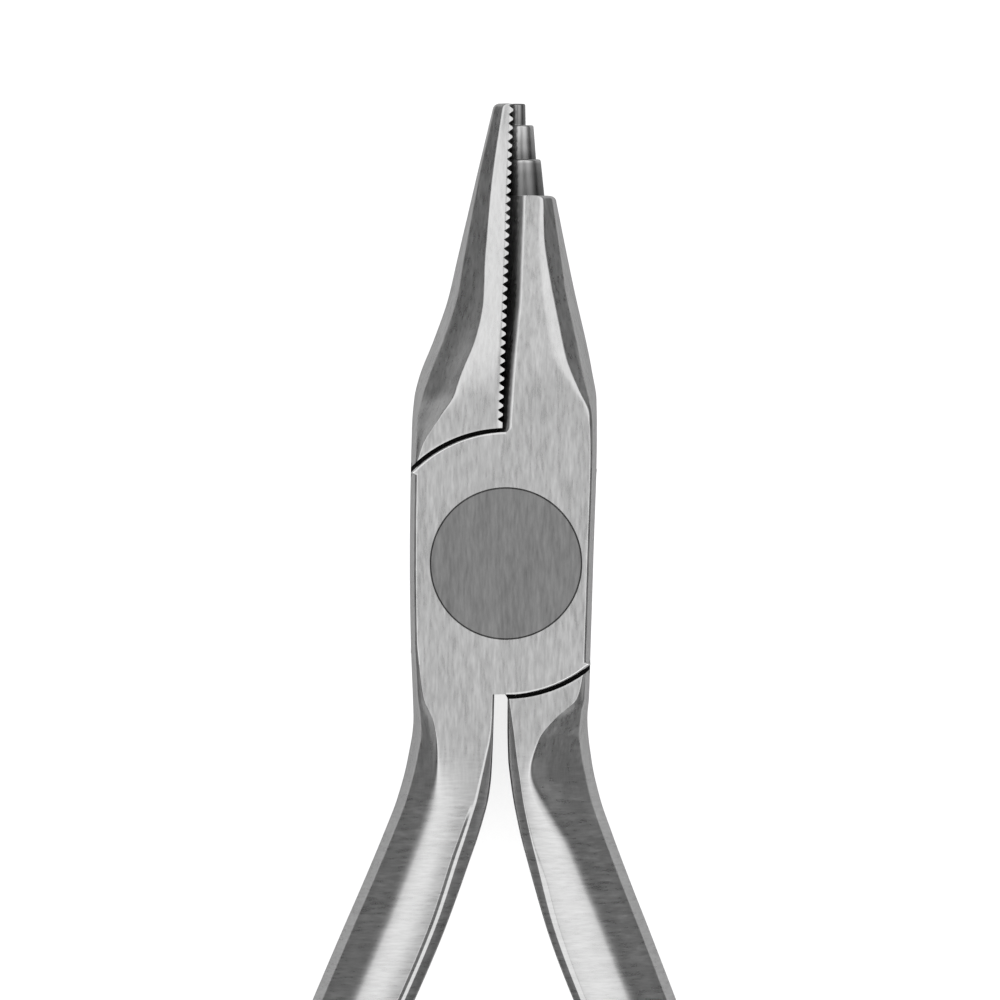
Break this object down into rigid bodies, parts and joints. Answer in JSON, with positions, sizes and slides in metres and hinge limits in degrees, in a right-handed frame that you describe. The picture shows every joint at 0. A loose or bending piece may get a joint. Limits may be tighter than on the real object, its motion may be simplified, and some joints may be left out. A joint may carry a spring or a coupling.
{
  "type": "orthodontic pliers",
  "caption": "Orthodontic loop-forming pliers: a serrated hollow jaw closes on a stepped round beak, on a riveted lap joint with long bowed handles.",
  "frame": {"origin": "on the pivot pin's axis, in the plane of the joint's back face, which the pliers lie on", "axes": "+Y towards the tips of the jaws, +Z out of the front face, where the pin's broad head shows, +X to the right seen from the front"},
  "size_m": [0.0463, 0.1299, 0.008],
  "materials": {
    "satin_steel": "fine satin brushing along the joint and across the handles",
    "turned_steel": "darker satin brushing"
  },
  "bodies": {
    "front_side": {"front_lever": "satin_steel"},
    "rear_side": {"rear_lever": "satin_steel", "pivot_pin": "turned_steel"}
  },
  "joints": [
    {"name": "jaw_pivot", "type": "hinge", "parent": "front_side", "child": "rear_side", "pos_m": [0, 0, 0.004], "axis": [0, 0, 1], "range_deg": [0, 35]}
  ]
}
